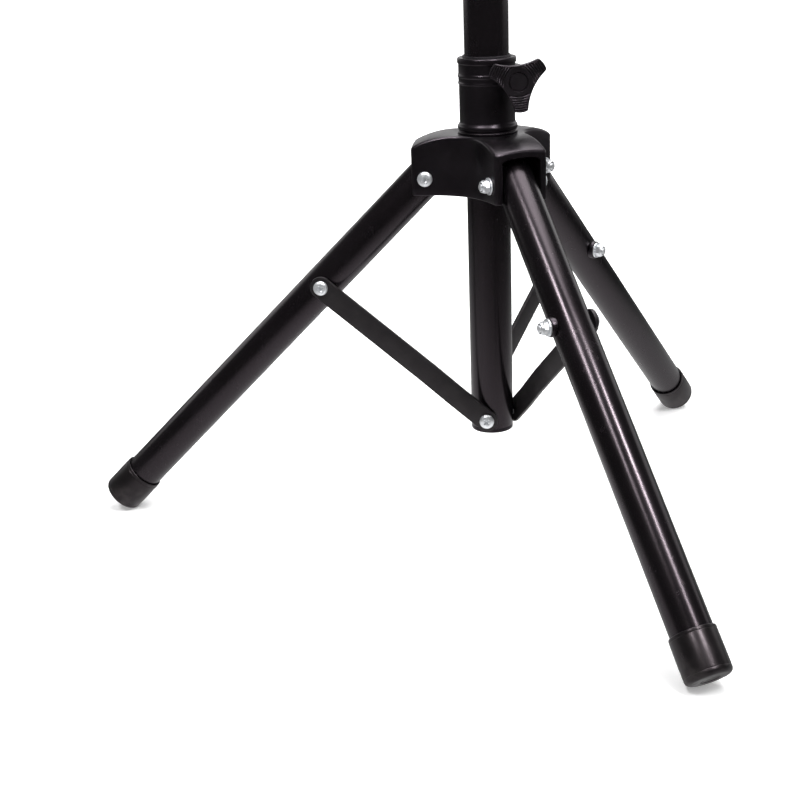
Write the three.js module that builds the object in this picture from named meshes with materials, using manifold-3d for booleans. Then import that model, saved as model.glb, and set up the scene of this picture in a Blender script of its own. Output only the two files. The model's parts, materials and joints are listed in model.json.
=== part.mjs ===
// Speaker tripod stand: a steel column on three folding legs, with a telescoping pole.
// Millimetres, +Z up. The origin is the centre of the flat lower face of the column's end plug.
// Legs a, b and c point to 180, 300 and 60 degrees round Z, and are drawn spread out for use.
import * as THREE from "three";
import { mergeVertices } from "three/addons/utils/BufferGeometryUtils.js";
import Module from "manifold-3d";

const wasm = await Module();
wasm.setup();

// ---- driving dimensions ----

const GAP = 0.3; // clearance between pieces that touch
const PAST = 5; // how far a cutting solid runs past the piece it cuts
const ROUND = 28; // sides of a large round piece
const MEDIUM_ROUND = 20; // sides of a knob's stem, a cap or a boss
const SMALL_ROUND = 12; // sides of a screw, a washer or a hole
const CROWN_ROUND = 48; // sides of the hub's round crown

const COLUMN = { radius: 18.25, wall: 1.2, top: 690 };
const END_PLUG = { lip: 3, edge: 0.8, stem: 22 };
const POLE = { radius: 15, wall: 1.2, bottom: 46.3, top: 748.7 };
const SPIGOT = { radius: 17.3, bottom: 702, top: 752, edge: 1.5 };
const POLE_GUIDE = { bottom: 40, collar: 6, stem: 20 };

const LEG_ANGLES = { a: 180, b: 300, c: 60 }; // degrees round Z
const LEG = { radius: 16.35, wall: 1.2, slope: 45.2, length: 422.7, head: 12 };
const HUB_PIVOT = { radial: 50.8, z: 225.9 };
const FOOT_CAP = { radius: 18.1, length: 35, floor: 4, edge: 4, mouth: 0.6 };
const LEG_PLUG = { flange: 1.2, stem: 8, edge: 0.8 };

const STRUT = { width: 19, thickness: 3, joggleStart: 32, joggleEnd: 66 };
const STRUT_ON_LEG = 132.8; // from the leg's pivot to the strut's bolt, along the leg
const STRUT_FOOT = { radial: 3, z: 12.35 }; // the strut's lower pivot, beside the column

const SCREW = { radius: 3, headRadius: 6.3, headHeight: 3.6, headEdge: 1.3, hole: 3.3 };
const WASHER = { radius: 7, thickness: 1.2 };
const NUT = { flats: 10, height: 6 };
const SADDLE = { radius: 8, thickness: 3, hold: 4 };
const BOLT_TAIL = 1; // how far a bolt stands out of its nut

// Heights of the hub's pieces are above the leg pivots.
const HUB = {
  halfWidth: 23.1,
  reach: 62.3,
  cornerRadius: 3,
  hollowAtTop: 26,
  hollowAtBottom: 55,
  bottom: -14,
  top: 34.8,
  crownStart: 33,
  crownRadius: 64,
  crownEdge: 50, // degrees at which the crown's arc stops
  roof: 5.7,
  slotHalfWidth: 16.9,
  slotStart: 27,
  bore: 22.3,
};
const COLLAR = { bore: 20.05, sleeve: 22, sleeveBottom: -12, flangeTop: 96 };
const BUSHING = { bottom: -11, top: 97.6, outer: 19.75 };
const UPPER_COLLAR = { bottom: 634, bore: 18.55, radius: 23, edge: 1.2, flangeTop: 696 };
const UPPER_BUSHING = { bottom: 672, lipTop: 697.6, lipRadius: 18.25 };

// The flange, groove and bead at the foot of the hub's collar: [radius, height above the hub].
const COLLAR_FOOT = [
  [24.9, 0],
  [24.9, 1.3],
  [23.9, 1.8],
  [23.9, 2.3],
  [24.8, 2.9],
  [24.8, 5.9],
  [23, 8.2],
];
// The moulded rings round the top of either collar: [radius, height below the flange's top].
const COLLAR_HEAD = [
  [23.1, 21.5],
  [23.8, 20.9],
  [23.8, 19.7],
  [23.4, 19.1],
  [23.4, 15.9],
  [24, 15.1],
  [24, 13.5],
  [23.4, 12.7],
  [23.4, 5],
  [24.2, 4.2],
  [24.2, 0.8],
  [23.4, 0],
];

// Each collar is split on one side, and a knob on a long stud draws its two ears together.
const KNOB_ANGLE = 277; // degrees round Z that both knobs face
const CLAMP = {
  offset: 23.9, // from the column's axis to the stud's, sideways
  earRadius: 9.5,
  earBack: -14,
  earFront: 18,
  split: 2,
  splitDepth: 16,
  nutHeight: 5,
  studBack: -15,
  studFront: 30,
};
const HUB_CLAMP_Z = 79; // above the leg pivots
const UPPER_CLAMP_Z = 660;
const KNOB = {
  stemRadius: 9,
  lobeBack: 25.2,
  face: 35.5,
  edge: 1.2,
  tipRadius: 24.5,
  tipBulge: 1,
  tipHalfWidth: 5.5,
  waistPull: 9.5,
  firstLobe: 35,
  capRadius: 7.6,
  capSink: 0.5,
  capEdge: 0.8,
  recess: 2,
};

// ---- finishes ----

function finish(color, roughness, metalness) {
  return new THREE.MeshStandardMaterial({ color, roughness, metalness });
}
const FINISH = {
  powderCoat: finish(0x1b1a1d, 0.38, 0.1),
  strutCoat: finish(0x252326, 0.55, 0.1),
  mouldedBlack: finish(0x222124, 0.5, 0),
  softBlack: finish(0x1f1e20, 0.7, 0),
  zinc: finish(0xc9ccd0, 0.3, 1),
  nylon: finish(0x2c2b2e, 0.6, 0),
};

// ---- solids ----

const degrees = THREE.MathUtils.degToRad;

// A geometry as a closed solid facing outwards, ready to be joined or cut.
function solid(geometry) {
  const bare = geometry.index ? geometry.toNonIndexed() : geometry.clone();
  bare.deleteAttribute("normal");
  bare.deleteAttribute("uv");
  const merged = mergeVertices(bare, 1e-4);
  const corners = merged.index.array;
  const kept = [];
  for (let i = 0; i < corners.length; i += 3) {
    const [p, q, r] = [corners[i], corners[i + 1], corners[i + 2]];
    if (p !== q && q !== r && r !== p) kept.push(p, q, r);
  }
  const build = (triangles) =>
    new wasm.Manifold(
      new wasm.Mesh({
        numProp: 3,
        vertProperties: merged.attributes.position.array,
        triVerts: new Uint32Array(triangles),
      }),
    );
  const made = build(kept);
  return made.volume() < 0 ? build(kept.slice().reverse()) : made;
}

function geometryOf(made) {
  const mesh = made.getMesh();
  const geometry = new THREE.BufferGeometry();
  const positions = new Float32Array(mesh.vertProperties);
  geometry.setAttribute("position", new THREE.BufferAttribute(positions, 3));
  geometry.setIndex(new THREE.BufferAttribute(new Uint32Array(mesh.triVerts), 1));
  const flat = geometry.toNonIndexed();
  flat.computeVertexNormals();
  return flat;
}

// A solid turned about Z from [radius, z] points.
function turned(profile, sides = ROUND) {
  const points = profile.map(([radius, z]) => new THREE.Vector2(radius, z));
  return solid(new THREE.LatheGeometry(points, sides).rotateX(Math.PI / 2));
}

// A ring turned about Z: the profile is closed on itself.
function ring(profile, sides = ROUND) {
  return turned([...profile, profile[0]], sides);
}

function pipe(outer, inner, bottom, top, sides = ROUND) {
  return ring([[inner, bottom], [outer, bottom], [outer, top], [inner, top]], sides);
}

function rod(radius, bottom, top, sides = SMALL_ROUND) {
  return turned([[0, bottom], [radius, bottom], [radius, top], [0, top]], sides);
}

const alongX = (made) => made.rotate([0, 90, 0]);
const alongY = (made) => made.rotate([-90, 0, 0]);

// A rod across a piece, along Y, through the point x, z.
function crossRod(radius, x, z, from, to, sides = SMALL_ROUND) {
  return alongY(rod(radius, from, to, sides)).translate([x, 0, z]);
}

// An extrusion of a THREE.Shape drawn in X and Y, from z = 0 up to the height.
function extruded(shape, height, options = {}) {
  const settings = { depth: height, bevelEnabled: false, curveSegments: 5, ...options };
  return solid(new THREE.ExtrudeGeometry(shape, settings));
}

function box(low, high) {
  const size = high.map((value, i) => value - low[i]);
  const middle = high.map((value, i) => (value + low[i]) / 2);
  return solid(new THREE.BoxGeometry(...size).translate(...middle));
}

// Points of a round edge, from one angle to another, in degrees.
function arcPoints(centreX, centreY, radius, from, to, steps) {
  const points = [];
  for (let i = 0; i <= steps; i += 1) {
    const angle = degrees(from + ((to - from) * i) / steps);
    points.push([centreX + radius * Math.cos(angle), centreY + radius * Math.sin(angle)]);
  }
  return points;
}

// ---- the scene graph ----

const stand = new THREE.Group();

function addMesh(parent, name, made, material) {
  const mesh = new THREE.Mesh(geometryOf(made), material);
  mesh.name = name;
  parent.add(mesh);
}

// ---- column and telescoping pole ----

function endPlug() {
  const inner = COLUMN.radius - COLUMN.wall - GAP;
  const { lip, edge, stem } = END_PLUG;
  return turned([
    [0, 0],
    ...arcPoints(COLUMN.radius - edge, edge, edge, -90, 0, 2),
    [COLUMN.radius, lip],
    [inner, lip],
    [inner, stem],
    [0, stem],
  ]);
}

function addColumn() {
  const bottom = END_PLUG.lip + GAP;
  const tube = pipe(COLUMN.radius, COLUMN.radius - COLUMN.wall, bottom, COLUMN.top);
  addMesh(stand, "main_tube", tube, FINISH.powderCoat);
  addMesh(stand, "tube_end_plug", endPlug(), FINISH.mouldedBlack);
}

function addPole() {
  const inner = POLE.radius - POLE.wall;
  addMesh(stand, "inner_pole", pipe(POLE.radius, inner, POLE.bottom, POLE.top), FINISH.powderCoat);
  const guideRadius = COLUMN.radius - COLUMN.wall - GAP;
  const guideTop = POLE_GUIDE.bottom + POLE_GUIDE.collar;
  const guide = turned([
    [0, POLE_GUIDE.bottom],
    [guideRadius, POLE_GUIDE.bottom],
    [guideRadius, guideTop],
    [inner - GAP, guideTop],
    [inner - GAP, guideTop + POLE_GUIDE.stem],
    [0, guideTop + POLE_GUIDE.stem],
  ]);
  addMesh(stand, "pole_guide", guide, FINISH.nylon);
  const { radius, bottom, top, edge } = SPIGOT;
  const spigot = turned([
    [POLE.radius + GAP, bottom],
    [radius, bottom],
    [radius, top - edge],
    [radius - edge, top],
    [0, top],
    [0, POLE.top + GAP],
    [POLE.radius + GAP, POLE.top + GAP],
    [POLE.radius + GAP, bottom],
  ]);
  addMesh(stand, "pole_top_spigot", spigot, FINISH.mouldedBlack);
}

// ---- split clamp collars ----

// Puts a piece drawn along +Z on the stud's axis, with its X sideways and its Y up.
function onStud(made, z) {
  const laid = alongX(made.rotate([0, 0, 90])).translate([0, CLAMP.offset, 0]);
  return laid.rotate([0, 0, KNOB_ANGLE]).translate([0, 0, z]);
}

// A collar with its ears, its bore, the split between the ears, and holes for the stud and nut.
function splitCollar(body, z, bore, bottom, top) {
  const { earRadius, earBack, earFront, split, splitDepth, nutHeight } = CLAMP;
  const ears = rod(earRadius, earBack, earFront, MEDIUM_ROUND);
  const studHole = rod(SCREW.hole, earBack - PAST, earFront + PAST);
  const nutRadius = NUT.flats / Math.sqrt(3) + GAP;
  const nutHole = rod(nutRadius, earBack - PAST, earBack + nutHeight + GAP, 6);
  const gap = box([-CLAMP.offset / 2, -splitDepth, -split / 2], [2 * earRadius, top - z + PAST, split / 2]);
  const cuts = studHole.add(nutHole).add(gap);
  return body
    .add(onStud(ears, z))
    .subtract(onStud(cuts, z))
    .subtract(rod(bore, bottom - 1, top + 1, ROUND));
}

function collarHead(flangeTop) {
  return COLLAR_HEAD.map(([radius, drop]) => [radius, flangeTop - drop]);
}

function hubCollar() {
  const { bore, sleeve, sleeveBottom, flangeTop } = COLLAR;
  const seat = HUB.top + GAP;
  const body = ring([
    [bore, sleeveBottom],
    [sleeve, sleeveBottom],
    [sleeve, seat],
    ...COLLAR_FOOT.map(([radius, rise]) => [radius, seat + rise]),
    ...collarHead(flangeTop),
    [bore, flangeTop],
  ]);
  return splitCollar(body, HUB_CLAMP_Z, bore, sleeveBottom, flangeTop);
}

function upperCollar() {
  const { bottom, bore, radius, edge, flangeTop } = UPPER_COLLAR;
  const body = ring([
    [bore, bottom],
    [radius - edge, bottom],
    [radius, bottom + edge],
    ...collarHead(flangeTop),
    [bore, flangeTop],
  ]);
  return splitCollar(body, UPPER_CLAMP_Z, bore, bottom, flangeTop);
}

function upperBushing() {
  const inner = POLE.radius + GAP;
  const sleeve = COLUMN.radius - COLUMN.wall - GAP;
  const { bottom, lipTop, lipRadius } = UPPER_BUSHING;
  return ring([
    [inner, bottom],
    [sleeve, bottom],
    [sleeve, COLUMN.top + GAP],
    [lipRadius, COLUMN.top + GAP],
    [lipRadius, lipTop],
    [inner, lipTop],
  ]);
}

// ---- clamp screw: a star knob on a stud, with a thrust washer and a trapped nut ----

// One third of the star's outline is a blunt lobe and the hollow after it.
function starShape() {
  const { tipRadius, tipBulge, tipHalfWidth, waistPull, firstLobe } = KNOB;
  const shape = new THREE.Shape();
  const at = (radius, offset, turn) => {
    const angle = degrees(firstLobe + turn);
    const [c, s] = [Math.cos(angle), Math.sin(angle)];
    return [radius * c - offset * s, radius * s + offset * c];
  };
  const corner = tipRadius - tipBulge;
  shape.moveTo(...at(corner, -tipHalfWidth, 0));
  for (const turn of [0, 120, 240]) {
    const tip = at(tipRadius + tipBulge, 0, turn);
    const waist = at(waistPull, 0, turn + 60);
    shape.quadraticCurveTo(...tip, ...at(corner, tipHalfWidth, turn));
    shape.quadraticCurveTo(...waist, ...at(corner, -tipHalfWidth, turn + 120));
  }
  return shape;
}

function starKnob() {
  const { stemRadius, lobeBack, face, edge, capRadius, recess } = KNOB;
  const back = CLAMP.earFront + WASHER.thickness + 2 * GAP;
  const lobes = extruded(starShape(), face - lobeBack - 2 * edge, {
    bevelEnabled: true,
    bevelThickness: edge,
    bevelSize: edge,
    bevelOffset: -edge,
    bevelSegments: 2,
  }).translate([0, 0, lobeBack + edge]);
  const stem = rod(stemRadius, back, face - edge, MEDIUM_ROUND);
  const studHole = rod(SCREW.hole, back - 1, CLAMP.studFront + GAP);
  const capHole = rod(capRadius + GAP, face - recess, face + 1, MEDIUM_ROUND);
  return lobes.add(stem).subtract(studHole).subtract(capHole);
}

function knobCap() {
  const { capRadius, capSink, capEdge, face, recess } = KNOB;
  const bottom = face - recess + GAP;
  const top = face - capSink;
  const profile = [
    [0, bottom],
    [capRadius, bottom],
    [capRadius, top - capEdge / 2],
    [capRadius - capEdge, top],
    [0, top],
  ];
  return turned(profile, MEDIUM_ROUND);
}

function addClampScrew(prefix, parent, z) {
  const add = (name, made, material) => addMesh(parent, prefix + name, onStud(made, z), material);
  const { earBack, earFront, nutHeight, studBack, studFront } = CLAMP;
  add("_clamp_washer", washer().translate([0, 0, earFront + GAP]), FINISH.zinc);
  add("_knob_stud", rod(SCREW.radius, studBack, studFront), FINISH.zinc);
  add("_knob_nut", nutBody(nutHeight).translate([0, 0, earBack]), FINISH.zinc);
  add("_knob", starKnob(), FINISH.mouldedBlack);
  add("_knob_cap", knobCap(), FINISH.mouldedBlack);
}

// ---- screws, nuts and washers, drawn along +Z ----

function nutBody(height) {
  const across = NUT.flats / Math.sqrt(3);
  return rod(across, 0, height, 6).subtract(rod(SCREW.hole, -1, height + 1));
}

// A pan head whose underside is at z = 0, with the shank going down to the end.
function panScrew(shankEnd) {
  const { radius, headRadius, headHeight, headEdge } = SCREW;
  const shoulder = (headHeight + 2 * headEdge) / 3;
  return turned([
    [0, shankEnd],
    [radius, shankEnd],
    [radius, 0],
    [headRadius, 0],
    [headRadius, headEdge],
    [headRadius * 0.87, shoulder + (headHeight - shoulder) * 0.25],
    [headRadius * 0.6, headHeight - (headHeight - shoulder) * 0.25],
    [0, headHeight],
  ]);
}

function washer() {
  return pipe(WASHER.radius, SCREW.hole, 0, WASHER.thickness, SMALL_ROUND);
}

// A bolt across a leg along Y at x, z: its head on the +Y side, its washer and nut on the other.
function addCrossBolt(parent, names, x, z, headFace, washerFace) {
  const place = (made, y) => alongY(made).translate([x, y, z]);
  const away = (made, y) => alongY(made.rotate([180, 0, 0])).translate([x, y, z]);
  const nutFace = washerFace + WASHER.thickness + GAP;
  const tail = -(headFace + nutFace + NUT.height + BOLT_TAIL);
  addMesh(parent, names.bolt, place(panScrew(tail), headFace), FINISH.zinc);
  addMesh(parent, names.washer, away(washer(), -washerFace), FINISH.zinc);
  addMesh(parent, names.nut, away(nutBody(NUT.height), -nutFace), FINISH.zinc);
}

// ---- hub bracket ----

// The top of the hub: flat near the column, then falling away on a round crown, less a wall.
function underCrown(wall) {
  const { crownStart, crownRadius, crownEdge, top, bottom } = HUB;
  const arc = arcPoints(crownStart, top - crownRadius, crownRadius - wall, crownEdge, 90, 8);
  const profile = [[0, bottom - PAST], [arc[0][0], bottom - PAST], ...arc, [0, top - wall]];
  return turned(profile, CROWN_ROUND);
}

// The plan outline: three arms with round outer corners and hollow rounds between them.
function hubOutline(hollowRadius) {
  const { halfWidth, reach, cornerRadius } = HUB;
  const inward = reach - cornerRadius;
  const hollowCentre = (halfWidth + hollowRadius) / Math.sin(degrees(60));
  const arm = [
    ...arcPoints(inward, cornerRadius - halfWidth, cornerRadius, -90, 0, 2),
    ...arcPoints(inward, halfWidth - cornerRadius, cornerRadius, 0, 90, 2),
    ...arcPoints(hollowCentre / 2, halfWidth + hollowRadius, hollowRadius, 270, 210, 6),
  ];
  const angles = Object.values(LEG_ANGLES).sort((p, q) => p - q);
  return angles.flatMap((angle) => {
    const [c, s] = [Math.cos(degrees(angle)), Math.sin(degrees(angle))];
    return arm.map(([x, y]) => [x * c - y * s, x * s + y * c]);
  });
}

// A solid between two outlines of as many points, each seen whole from its centre on Z.
function between(lowOutline, highOutline, bottom, top) {
  const positions = [];
  const triangle = (...corners) => corners.forEach((corner) => positions.push(...corner));
  const count = lowOutline.length;
  for (let i = 0; i < count; i += 1) {
    const next = (i + 1) % count;
    const low = [...lowOutline[i], bottom];
    const lowNext = [...lowOutline[next], bottom];
    const high = [...highOutline[i], top];
    const highNext = [...highOutline[next], top];
    triangle(low, lowNext, highNext);
    triangle(low, highNext, high);
    triangle([0, 0, bottom], lowNext, low);
    triangle([0, 0, top], high, highNext);
  }
  const geometry = new THREE.BufferGeometry();
  geometry.setAttribute("position", new THREE.Float32BufferAttribute(positions, 3));
  return solid(geometry);
}

function hubBracket() {
  const { bottom, bore, slotHalfWidth, slotStart, reach, roof, top } = HUB;
  const { hollowAtTop, hollowAtBottom } = HUB;
  const arms = between(hubOutline(hollowAtBottom), hubOutline(hollowAtTop), bottom, top + 1);
  const room = box(
    [slotStart, -slotHalfWidth, bottom - PAST],
    [reach + PAST, slotHalfWidth, top + PAST],
  );
  const bolt = crossRod(SCREW.hole, HUB_PIVOT.radial, 0, -HUB.halfWidth - PAST, HUB.halfWidth + PAST);
  const cut = room.intersect(underCrown(roof)).add(bolt);
  let hub = arms.intersect(underCrown(0)).subtract(rod(bore, bottom - 1, top + 1, ROUND));
  for (const angle of Object.values(LEG_ANGLES)) hub = hub.subtract(cut.rotate([0, 0, angle]));
  return hub;
}

function addHub() {
  const hub = new THREE.Group();
  hub.position.z = HUB_PIVOT.z;
  stand.add(hub);
  const bushing = pipe(BUSHING.outer, COLUMN.radius + GAP, BUSHING.bottom, BUSHING.top);
  addMesh(hub, "hub_bracket", hubBracket(), FINISH.mouldedBlack);
  addMesh(hub, "hub_collar", hubCollar(), FINISH.mouldedBlack);
  addMesh(hub, "hub_bushing", bushing, FINISH.nylon);
  addClampScrew("hub", hub, HUB_CLAMP_Z);
}

function addUpperClamp() {
  addMesh(stand, "upper_collar", upperCollar(), FINISH.mouldedBlack);
  addMesh(stand, "upper_bushing", upperBushing(), FINISH.nylon);
  addClampScrew("upper", stand, UPPER_CLAMP_Z);
}

// ---- legs: drawn along +X from the hub pivot, with +Y the side of the screw heads ----

function legTube() {
  const end = LEG.length - FOOT_CAP.floor - GAP;
  const tube = alongX(pipe(LEG.radius, LEG.radius - LEG.wall, -LEG.head, end));
  const across = LEG.radius + PAST;
  const pivotHole = crossRod(SCREW.hole, 0, 0, -across, across);
  const strutHole = crossRod(SCREW.hole, STRUT_ON_LEG, 0, -across, across);
  return tube.subtract(pivotHole).subtract(strutHole);
}

function footCap() {
  const { radius, length, floor, edge, mouth } = FOOT_CAP;
  const inner = LEG.radius + GAP;
  const start = LEG.length - length;
  const cap = turned([
    [inner, start],
    [radius - mouth, start],
    [radius, start + mouth],
    ...arcPoints(radius - edge, LEG.length - edge, edge, 0, 90, 3),
    [0, LEG.length],
    [0, LEG.length - floor],
    [inner, LEG.length - floor],
    [inner, start],
  ]);
  return alongX(cap);
}

function legTopPlug() {
  const { flange, stem, edge } = LEG_PLUG;
  const inner = LEG.radius - LEG.wall - GAP;
  const shoulder = -LEG.head - GAP;
  const plug = turned([
    [0, shoulder - flange],
    [LEG.radius - edge, shoulder - flange],
    [LEG.radius, shoulder - flange + edge],
    [LEG.radius, shoulder],
    [inner, shoulder],
    [inner, shoulder + stem],
    [0, shoulder + stem],
  ]);
  return alongX(plug);
}

// A moulded washer, hollowed to sit on the round leg and flat outside for the steel washer.
function strutSaddle() {
  const outerFace = LEG.radius + SADDLE.thickness;
  const innerFace = LEG.radius - SADDLE.hold;
  const disc = crossRod(SADDLE.radius, STRUT_ON_LEG, 0, -outerFace, -innerFace, MEDIUM_ROUND);
  const leg = alongX(rod(LEG.radius + GAP, 0, LEG.length, ROUND));
  return disc.subtract(leg).subtract(crossRod(SCREW.hole, STRUT_ON_LEG, 0, -outerFace - PAST, 0));
}

function addLeg(arm, letter) {
  const leg = new THREE.Group();
  leg.position.set(HUB_PIVOT.radial, 0, HUB_PIVOT.z);
  leg.rotation.y = degrees(LEG.slope);
  arm.add(leg);
  addMesh(leg, "leg_tube_" + letter, legTube(), FINISH.powderCoat);
  addMesh(leg, "leg_top_plug_" + letter, legTopPlug(), FINISH.mouldedBlack);
  addMesh(leg, "foot_cap_" + letter, footCap(), FINISH.softBlack);
  addMesh(leg, "strut_saddle_" + letter, strutSaddle(), FINISH.mouldedBlack);
  const names = {
    bolt: "strut_bolt_" + letter,
    washer: "strut_washer_" + letter,
    nut: "strut_nut_" + letter,
  };
  const headFace = LEG.radius + STRUT.thickness + 2 * GAP;
  const washerFace = LEG.radius + SADDLE.thickness + GAP;
  addCrossBolt(leg, names, STRUT_ON_LEG, 0, headFace, washerFace);
}

function addPivotBolt(arm, letter) {
  const names = {
    bolt: "pivot_bolt_" + letter,
    washer: "pivot_washer_" + letter,
    nut: "pivot_nut_" + letter,
  };
  const face = HUB.halfWidth + GAP;
  addCrossBolt(arm, names, HUB_PIVOT.radial, HUB_PIVOT.z, face, face);
}

// ---- struts: drawn along +X from their lower pivot, flat against the column, then the leg ----

function strutGeometry() {
  const slope = degrees(LEG.slope);
  const run = HUB_PIVOT.radial + STRUT_ON_LEG * Math.cos(slope) - STRUT_FOOT.radial;
  const rise = HUB_PIVOT.z - STRUT_ON_LEG * Math.sin(slope) - STRUT_FOOT.z;
  return { length: Math.hypot(run, rise), slope: Math.atan2(rise, run) };
}

function strutBar() {
  const { width, thickness, joggleStart, joggleEnd } = STRUT;
  const { length } = strutGeometry();
  const half = width / 2;
  const low = COLUMN.radius + GAP;
  const high = LEG.radius + GAP;
  const edgeOn = new THREE.Shape();
  edgeOn.moveTo(-half, low);
  edgeOn.lineTo(joggleStart, low);
  edgeOn.lineTo(joggleEnd, high);
  edgeOn.lineTo(length + half, high);
  edgeOn.lineTo(length + half, high + thickness);
  edgeOn.lineTo(joggleEnd, high + thickness);
  edgeOn.lineTo(joggleStart, low + thickness);
  edgeOn.lineTo(-half, low + thickness);
  const flat = new THREE.Shape();
  flat.absarc(length, 0, half, -Math.PI / 2, Math.PI / 2);
  flat.absarc(0, 0, half, Math.PI / 2, (3 * Math.PI) / 2);
  const bent = extruded(edgeOn, width).translate([0, 0, -half]);
  const across = low + thickness + PAST;
  const outline = extruded(flat, across, { curveSegments: 10 }).rotate([90, 0, 0]);
  return bent
    .intersect(outline.translate([0, across, 0]))
    .subtract(crossRod(SCREW.hole, 0, 0, 0, across))
    .subtract(crossRod(SCREW.hole, length, 0, 0, across));
}

function addStrut(arm, letter) {
  const { slope } = strutGeometry();
  const strut = new THREE.Group();
  strut.position.set(STRUT_FOOT.radial, 0, STRUT_FOOT.z);
  strut.rotation.y = -slope;
  arm.add(strut);
  addMesh(strut, "strut_" + letter, strutBar(), FINISH.strutCoat);
  const headFace = COLUMN.radius + STRUT.thickness + 2 * GAP;
  const columnSide = Math.sqrt(COLUMN.radius ** 2 - STRUT_FOOT.radial ** 2);
  const screw = alongY(panScrew(columnSide + GAP - headFace)).translate([0, headFace, 0]);
  addMesh(strut, "strut_screw_" + letter, screw, FINISH.zinc);
}

// ---- assembly ----

addColumn();
addPole();
addHub();
addUpperClamp();
for (const [letter, angle] of Object.entries(LEG_ANGLES)) {
  const arm = new THREE.Group();
  arm.rotation.z = degrees(angle);
  stand.add(arm);
  addLeg(arm, letter);
  addPivotBolt(arm, letter);
  addStrut(arm, letter);
}

export default stand;
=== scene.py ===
"""Looks of the speaker tripod stand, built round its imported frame. Metres, +Z up."""

import json
from math import atan2, cos, floor, hypot, pi, radians, sin, sqrt

import bmesh
import bpy
from mathutils import Matrix, Quaternion, Vector


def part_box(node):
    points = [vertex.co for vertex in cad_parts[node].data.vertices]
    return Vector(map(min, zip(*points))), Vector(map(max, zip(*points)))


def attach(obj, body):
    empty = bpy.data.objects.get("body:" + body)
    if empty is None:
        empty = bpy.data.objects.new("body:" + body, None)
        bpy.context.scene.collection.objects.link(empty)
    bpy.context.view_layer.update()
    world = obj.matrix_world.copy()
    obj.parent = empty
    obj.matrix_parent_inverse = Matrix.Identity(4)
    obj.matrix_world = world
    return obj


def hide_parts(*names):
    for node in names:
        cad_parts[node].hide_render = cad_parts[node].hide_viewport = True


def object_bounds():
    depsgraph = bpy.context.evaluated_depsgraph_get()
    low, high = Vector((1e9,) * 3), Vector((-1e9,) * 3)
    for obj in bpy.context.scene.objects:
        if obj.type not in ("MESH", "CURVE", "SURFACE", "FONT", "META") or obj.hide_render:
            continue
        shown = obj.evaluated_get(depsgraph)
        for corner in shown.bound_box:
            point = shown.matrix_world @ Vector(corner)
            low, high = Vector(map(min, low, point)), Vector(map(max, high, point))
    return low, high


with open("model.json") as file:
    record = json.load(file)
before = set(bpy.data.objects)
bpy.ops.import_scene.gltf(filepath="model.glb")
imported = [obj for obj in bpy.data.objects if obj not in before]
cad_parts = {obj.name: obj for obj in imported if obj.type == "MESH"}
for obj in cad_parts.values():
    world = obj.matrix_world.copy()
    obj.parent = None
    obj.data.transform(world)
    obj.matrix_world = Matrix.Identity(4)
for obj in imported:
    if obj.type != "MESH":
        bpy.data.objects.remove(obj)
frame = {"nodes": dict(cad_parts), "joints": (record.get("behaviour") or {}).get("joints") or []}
CAD_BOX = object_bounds()
JOINTS = {joint["name"]: joint for joint in frame["joints"]}

# ---- places and sizes ----

MM = 0.001
UP = Vector((0, 0, 1))
LETTERS = "abc"
WALL = 1.2 * MM
GAP = 0.3 * MM


def span(node, axis):
    """Lowest and highest place of a CAD node along an axis."""
    low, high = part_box(node)
    return low[axis], high[axis]


FLOOR = CAD_BOX[0][2]
TUBE_BOTTOM, TUBE_TOP = span("main_tube", 2)
TUBE_RADIUS = span("main_tube", 0)[1]
POLE_BOTTOM, POLE_TOP = span("inner_pole", 2)
POLE_RADIUS = span("inner_pole", 0)[1]
SPIGOT_BOTTOM, SPIGOT_TOP = span("pole_top_spigot", 2)
SPIGOT_RADIUS = span("pole_top_spigot", 0)[1]
HUB_BOTTOM, HUB_TOP = span("hub_bracket", 2)
COLLAR_BOTTOM, COLLAR_TOP = span("hub_collar", 2)
LINER_BOTTOM, LINER_TOP = span("hub_bushing", 2)
LINER_RADIUS = span("hub_bushing", 0)[1]
UPPER_COLLAR_BOTTOM, UPPER_COLLAR_TOP = span("upper_collar", 2)
UPPER_LINER_TOP = span("upper_bushing", 2)[1]

PIVOT = {k: Vector(JOINTS[f"leg_{k}_fold"]["pos_m"]) for k in LETTERS}
ACROSS = {k: Vector(JOINTS[f"leg_{k}_fold"]["axis"]).normalized() for k in LETTERS}
OUTWARD = {k: ACROSS[k].cross(UP) for k in LETTERS}
STRUT_TOP = {k: Vector(JOINTS[f"strut_{k}_fold"]["pos_m"]) for k in LETTERS}
SLOPE = radians(90 - JOINTS["leg_a_fold"]["range_deg"][1])
KNOB_OUT = Vector(JOINTS["hub_knob_turn"]["axis"]).normalized()
KNOB_SIDE = UP.cross(KNOB_OUT)
CLAMP_OFFSET = Vector(JOINTS["hub_knob_turn"]["pos_m"]).dot(KNOB_SIDE)
CLAMP_Z = {"hub": JOINTS["hub_knob_turn"]["pos_m"][2], "upper": JOINTS["upper_knob_turn"]["pos_m"][2]}

HUB_HALF_WIDTH = 23.1 * MM
HUB_REACH = 62.3 * MM
LEG_RADIUS = 16.35 * MM
LEG_HEAD = 12 * MM
LEG_LENGTH = 422.7 * MM
CAP_RADIUS = 18.1 * MM
CAP_LENGTH = 35 * MM
STRUT_ON_LEG = (STRUT_TOP["a"] - PIVOT["a"]).length
STRUT_FOOT = {"radial": 3 * MM, "z": 12.35 * MM}
STRUT_WIDTH = 19 * MM
STRUT_THICKNESS = 3 * MM
SADDLE_THICKNESS = 3 * MM
SCREW_RADIUS = 3 * MM
HOLE_RADIUS = 3.3 * MM
HEAD_RADIUS = 6.3 * MM
WASHER_RADIUS = 7 * MM
WASHER_THICKNESS = 1.2 * MM
NUT_HEIGHT = 6 * MM

# ---- the camera: a standing photographer's view of the folding base ----

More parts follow.
